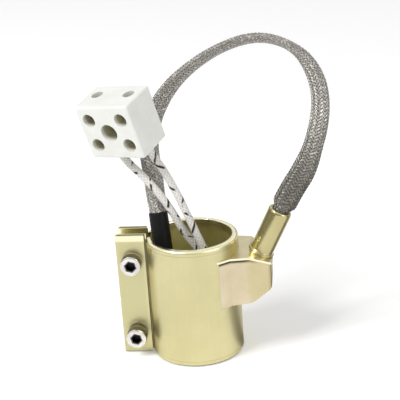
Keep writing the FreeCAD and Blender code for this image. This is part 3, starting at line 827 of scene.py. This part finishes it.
def buildBraidStrands():
    # as many strands one way as the other, each over two and under two
    vertices, faces, uvs = [], [], []
    length, pitch, carriers = braidLine.length, braid["pitch"], braid["carriers"]
    section = braid["strandSection"]
    rows = int(length / braid["strandStep"]) - 1
    k = len(section)
    a, b = braid["meanHalves"]
    perimeter = math.pi * (3 * (a + b) - math.sqrt((3 * a + b) * (a + 3 * b)))
    slant = math.atan2(perimeter, pitch)
    for direction in (1, -1):
        for carrier in range(carriers):
            first = len(vertices)
            for row in range(rows + 1):
                distance = braid["endGap"] + (length - 2 * braid["endGap"]) * row / rows
                phase = 2 * carriers * distance / pitch
                turn = direction * 2 * math.pi * distance / pitch + 2 * math.pi * carrier / carriers
                wave = math.sin(2 * math.pi * (2 * carrier + direction * phase) / 4 + braid["weaveStart"])
                wave = max(-1.0, min(1.0, wave * braid["weaveSharpness"]))
                lift = braid["weaveHeight"] * direction * wave * 0.5
                for offset, crown in section:
                    # across the strand is mostly round the braid
                    shift = offset * braid["strandWidth"] / 2
                    around = turn + shift * math.cos(slant) / perimeter * 2 * math.pi
                    place = min(max(distance - direction * shift * math.sin(slant), 0.0), length)
                    vertices.append(braidSurface(place, around, lift + crown * braid["strandCrown"]))
                    uvs.append((offset / 2 + 0.5, distance))
            for row in range(rows):
                for j in range(k - 1):
                    corner = first + row * k + j
                    faces.append((corner, corner + 1, corner + k + 1, corner + k))
    return meshPiece("leadBraidStrands", vertices, faces, braidStrand, uvs)


braidCore, braidStrands = buildBraidCore(), buildBraidStrands()
for piece in (braidCore, braidStrands):
    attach(piece, "heater")
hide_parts("lead_braid")
print("braid made, length", round(braidLine.length, 4))

wireLines = {}
for side, route in wires.items():
    wireLines[side] = Line(routeLine(route), (0, 1, 0))
    piece = roundTube("leadWire_" + side, wireLines[side], wireDiameter / 2, glassFibre)
    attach(piece, "heater")
    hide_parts("lead_wire_" + side)
print("wires made")

floor = {
    "half": 3.0,
    "white": (0.93, 0.93, 0.93, 1),
    "paintedReflectionColour": (0.1, 0.09, 0.06, 1),
    "wedgeDirection": (0.985, 0.17),
    "wedgeEdge": (0.93, 0.985),
    "wedgeDepth": 0.8,
    "glow": 0.23,
}


def buildFloor():
    half = floor["half"]
    corners = [(-half, -half, 0.0), (half, -half, 0.0), (half, half, 0.0), (-half, half, 0.0)]
    meshPiece("floor", corners, [(0, 1, 2, 3)], floorFinish())


def rays(finish, *names):
    # what kind of ray looks at a finish
    path = finish.node("ShaderNodeLightPath").socket.node.outputs
    return [Sock(finish, path[name]) for name in names]


def floorFinish():
    # white to the eye and in the metal, apart from a darker wedge to the right that only reflections see:
    # it is a painted reflection of a dark thing standing there, which gives the brass its shape
    f = Finish("floorWhite", Roughness=0.9, Emission_Strength=floor["glow"])
    camera, glossy, through = rays(f, "Is Camera Ray", "Is Glossy Ray", "Is Transmission Ray")
    x, y, _ = f.axes(f.place())
    away = f.math("SQRT", x * x + y * y) + 0.0001
    alongX, alongY = floor["wedgeDirection"]
    wedge = f.fade((x * alongX + y * alongY) / away, *floor["wedgeEdge"]) * glossy * floor["wedgeDepth"]
    f.set(Base_Color=f.mix(wedge, floor["white"], floor["paintedReflectionColour"]))
    seen = f.math("ADD", camera + glossy - wedge, through, clamp=True)
    f.set(Emission_Color=f.mix(seen, (0, 0, 0, 1), (1, 1, 1, 1)))
    return f.material


room = {
    "white": (1, 1, 1, 1),
    "skirting": (0.42, 0.12),
    "skirtingColour": (0.3, 0.28, 0.22, 1),
    "plain": (0.44, 0.44, 0.44, 1),
}


def buildWorld():
    # plain light for dull surfaces; the metal sees a white room with a darker skirting
    f = Finish("studio", world=True)
    bpy.context.scene.world = f.material
    glossy, diffuse = rays(f, "Is Glossy Ray", "Is Diffuse Ray")
    _, _, z = f.axes(f.node("ShaderNodeTexCoord", output="Generated"))
    seen = f.mix(f.fade(z, *room["skirting"]) * glossy, room["white"], room["skirtingColour"])
    f.set(Color=f.mix(diffuse, seen, room["plain"]))


lamps = {
    "keyLamp": {"place": (-0.9, -0.7, 1.3), "size": 0.6, "power": 18.0},
    "fillLamp": {"place": (1.15, -0.8, 0.5), "size": 0.9, "power": 5.0},
}
lampTarget = (0, 0, 0.05)


def areaLamp(name, place, size, power):
    data = bpy.data.lights.new(name, "AREA")
    data.size = size
    data.energy = power
    lamp = bpy.data.objects.new(name, data)
    lamp.location = place
    lamp.rotation_euler = (Vector(lampTarget) - Vector(place)).to_track_quat("-Z", "Y").to_euler()
    bpy.context.scene.collection.objects.link(lamp)


camera = {
    "place": (0.0439, -0.3439, 0.1859),
    "lens": 97.2,
    # right, up and back
    "axes": (
        (0.993766, 0.092314, -0.062514),
        (0.025686, 0.356061, 0.934110),
        (0.108490, -0.929892, 0.351470),
    ),
}


def buildCamera():
    data = bpy.data.cameras.new("camera")
    data.sensor_width = 36.0
    data.lens = camera["lens"]
    data.clip_start = 0.01
    eye = bpy.data.objects.new("camera", data)
    right, up, back = (Vector(v) for v in camera["axes"])
    turn = Matrix((right, up, back)).transposed()
    eye.matrix_world = Matrix.Translation(camera["place"]) @ turn.to_4x4()
    bpy.context.scene.collection.objects.link(eye)
    bpy.context.scene.camera = eye


buildFloor()
buildWorld()
for name, lamp in lamps.items():
    areaLamp(name, **lamp)
buildCamera()
bpy.context.scene.view_settings.view_transform = "Standard"
print("stage made")
